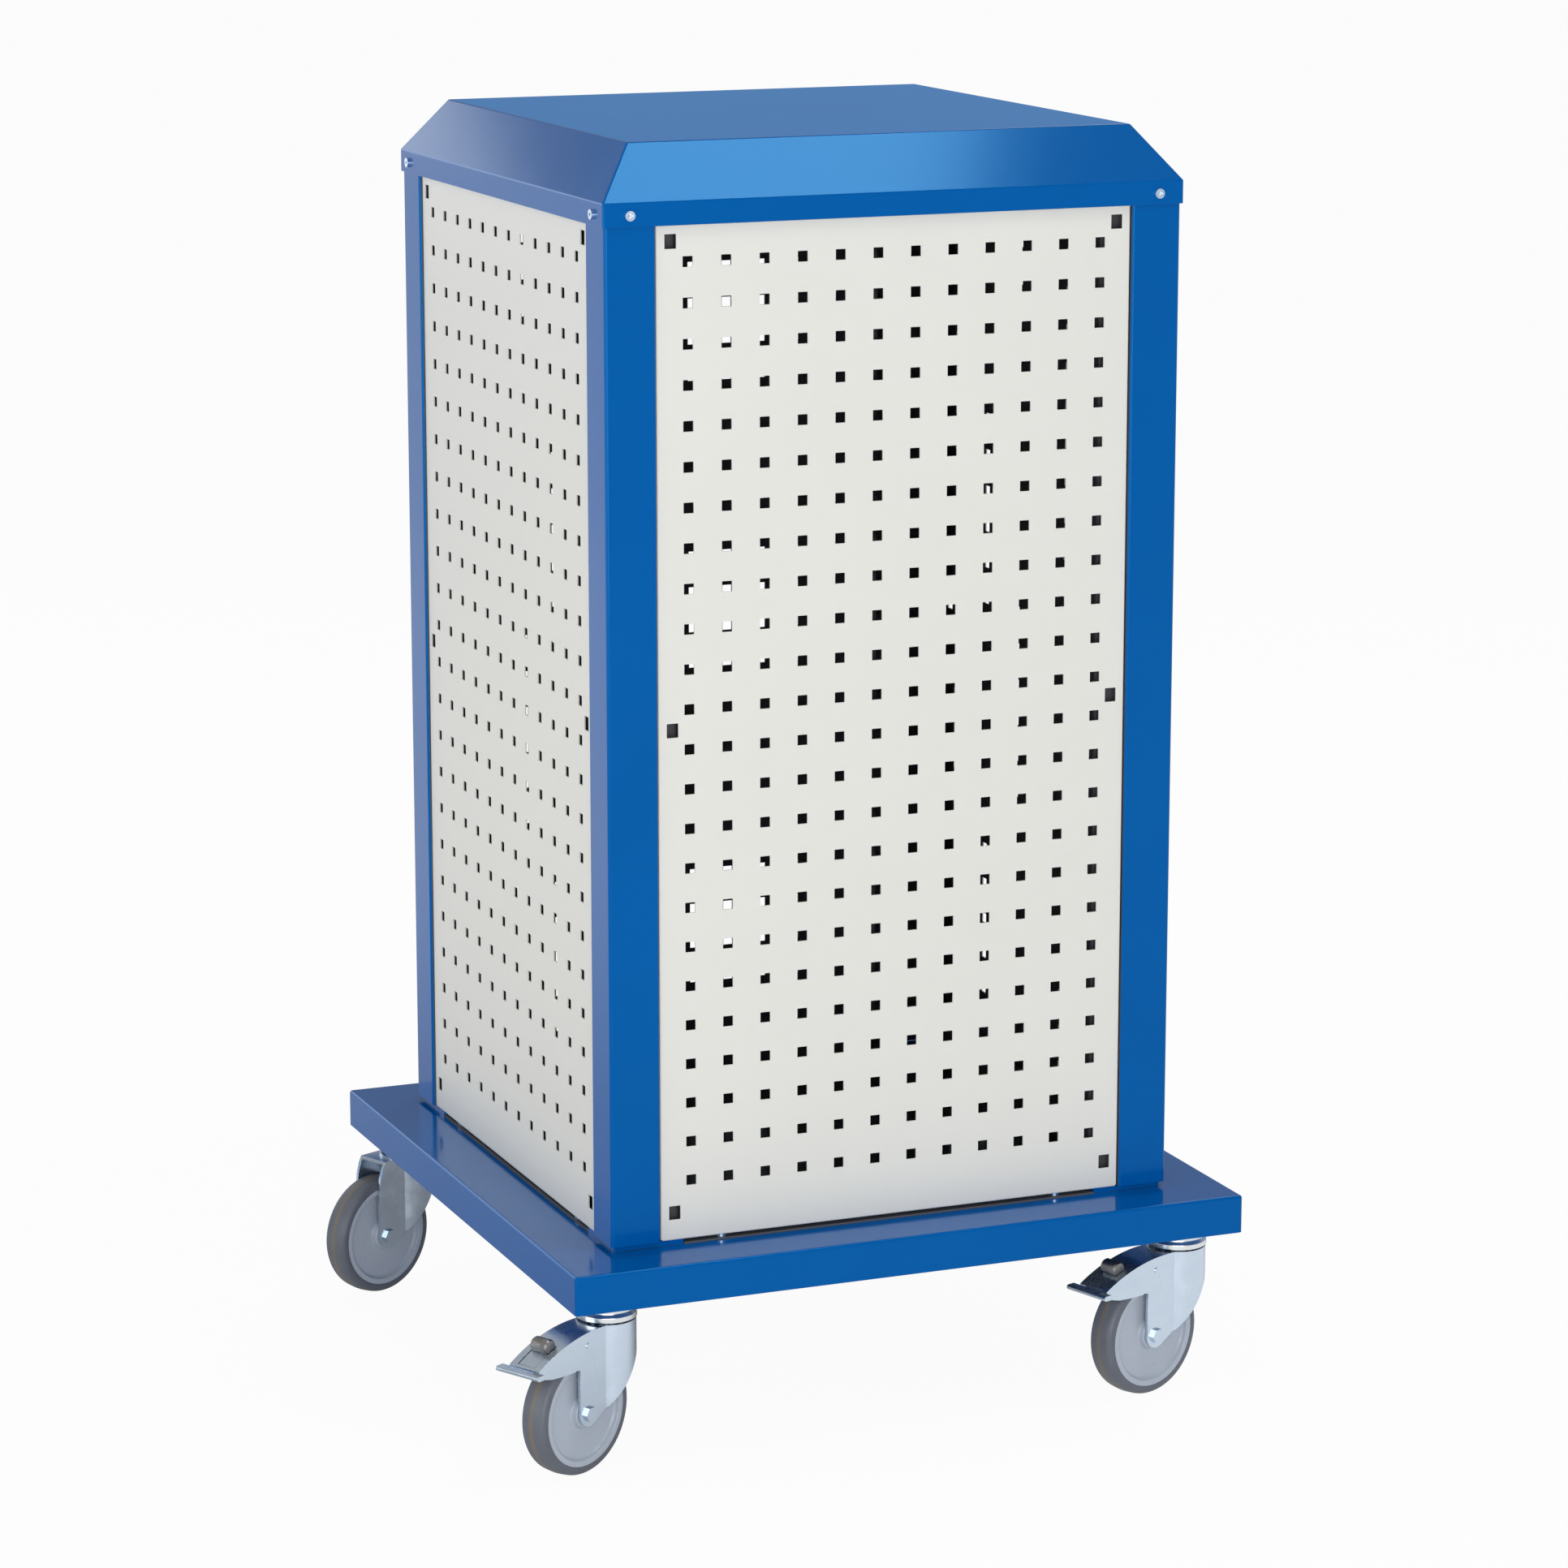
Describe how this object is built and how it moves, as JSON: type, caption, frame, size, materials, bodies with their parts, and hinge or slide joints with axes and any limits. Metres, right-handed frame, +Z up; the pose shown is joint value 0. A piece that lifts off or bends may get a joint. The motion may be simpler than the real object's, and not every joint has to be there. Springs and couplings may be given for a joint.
{
  "type": "roller tool cabinet",
  "caption": "Four-sided tool tower with perforated side panels, hipped roof and overhanging base on swivel castors, two of them with foot brakes.",
  "frame": {"origin": "on the floor, under the middle of the tower", "axes": "+Z up, -Y the front with the braked castors, +X to the right seen from the front"},
  "size_m": [0.7727, 0.7314, 1.245],
  "materials": {
    "blue_paint": "glossy blue powder coat",
    "grey_paint": "satin light grey powder coat",
    "zinc": "bright zinc plate",
    "steel": "plain turned steel",
    "tread_rubber": "matt grey non-marking rubber",
    "wheel_plastic": "moulded grey polyamide"
  },
  "bodies": {
    "tower": {"base_tray": "blue_paint", "castor_channel_left": "blue_paint", "castor_channel_right": "blue_paint", "post_front_left": "blue_paint", "post_front_right": "blue_paint", "post_back_left": "blue_paint", "post_back_right": "blue_paint", "bottom_rail_front": "blue_paint", "bottom_rail_right": "blue_paint", "bottom_rail_back": "blue_paint", "bottom_rail_left": "blue_paint", "top_rail_front": "blue_paint", "top_rail_right": "blue_paint", "top_rail_back": "blue_paint", "top_rail_left": "blue_paint", "panel_front": "grey_paint", "panel_right": "grey_paint", "panel_back": "grey_paint", "panel_left": "grey_paint", "panel_hooks": "steel", "roof_cap": "blue_paint", "roof_screws": "zinc", "base_bolts": "zinc", "castor_bolts": "zinc", "swivel_head_front_left": "zinc", "swivel_head_front_right": "zinc", "swivel_head_back_left": "zinc", "swivel_head_back_right": "zinc"},
    "castor_front_left": {"fork_front_left": "zinc", "ball_ring_front_left": "steel", "axle_tube_front_left": "steel", "axle_bolt_front_left": "zinc", "pivot_pin_front_left": "zinc", "brake_spring_front_left": "steel"},
    "wheel_front_left": {"wheel_centre_front_left": "wheel_plastic", "tread_front_left": "tread_rubber"},
    "brake_front_left": {"pedal_front_left": "zinc", "release_roller_front_left": "steel"},
    "castor_front_right": {"fork_front_right": "zinc", "ball_ring_front_right": "steel", "axle_tube_front_right": "steel", "axle_bolt_front_right": "zinc", "pivot_pin_front_right": "zinc", "brake_spring_front_right": "steel"},
    "wheel_front_right": {"wheel_centre_front_right": "wheel_plastic", "tread_front_right": "tread_rubber"},
    "brake_front_right": {"pedal_front_right": "zinc", "release_roller_front_right": "steel"},
    "castor_back_left": {"fork_back_left": "zinc", "ball_ring_back_left": "steel", "axle_tube_back_left": "steel", "axle_bolt_back_left": "zinc"},
    "wheel_back_left": {"wheel_centre_back_left": "wheel_plastic", "tread_back_left": "tread_rubber"},
    "castor_back_right": {"fork_back_right": "zinc", "ball_ring_back_right": "steel", "axle_tube_back_right": "steel", "axle_bolt_back_right": "zinc"},
    "wheel_back_right": {"wheel_centre_back_right": "wheel_plastic", "tread_back_right": "tread_rubber"}
  },
  "joints": [
    {"name": "swivel_front_left", "type": "hinge", "parent": "tower", "child": "castor_front_left", "pos_m": [-0.301, -0.301, 0.1625], "axis": [0, 0, 1], "continuous": true},
    {"name": "roll_front_left", "type": "hinge", "parent": "castor_front_left", "child": "wheel_front_left", "pos_m": [-0.34084, -0.32192, 0.062], "axis": [0.4648, -0.8854, 0], "continuous": true},
    {"name": "brake_pedal_front_left", "type": "hinge", "parent": "castor_front_left", "child": "brake_front_left", "pos_m": [-0.34173, -0.32238, 0.129], "axis": [0.4648, -0.8854, 0], "range_deg": [0, 8]},
    {"name": "swivel_front_right", "type": "hinge", "parent": "tower", "child": "castor_front_right", "pos_m": [0.301, -0.301, 0.1625], "axis": [0, 0, 1], "continuous": true},
    {"name": "roll_front_right", "type": "hinge", "parent": "castor_front_right", "child": "wheel_front_right", "pos_m": [0.25835, -0.31535, 0.062], "axis": [0.319, -0.9478, 0], "continuous": true},
    {"name": "brake_pedal_front_right", "type": "hinge", "parent": "castor_front_right", "child": "brake_front_right", "pos_m": [0.2574, -0.31567, 0.129], "axis": [0.319, -0.9478, 0], "range_deg": [0, 8]},
    {"name": "swivel_back_left", "type": "hinge", "parent": "tower", "child": "castor_back_left", "pos_m": [-0.301, 0.301, 0.1625], "axis": [0, 0, 1], "continuous": true},
    {"name": "roll_back_left", "type": "hinge", "parent": "castor_back_left", "child": "wheel_back_left", "pos_m": [-0.34201, 0.28248, 0.062], "axis": [0.4115, -0.9114, 0], "continuous": true},
    {"name": "swivel_back_right", "type": "hinge", "parent": "tower", "child": "castor_back_right", "pos_m": [0.301, 0.301, 0.1625], "axis": [0, 0, 1], "continuous": true},
    {"name": "roll_back_right", "type": "hinge", "parent": "castor_back_right", "child": "wheel_back_right", "pos_m": [0.25928, 0.28414, 0.062], "axis": [0.3746, -0.9272, 0], "continuous": true}
  ]
}
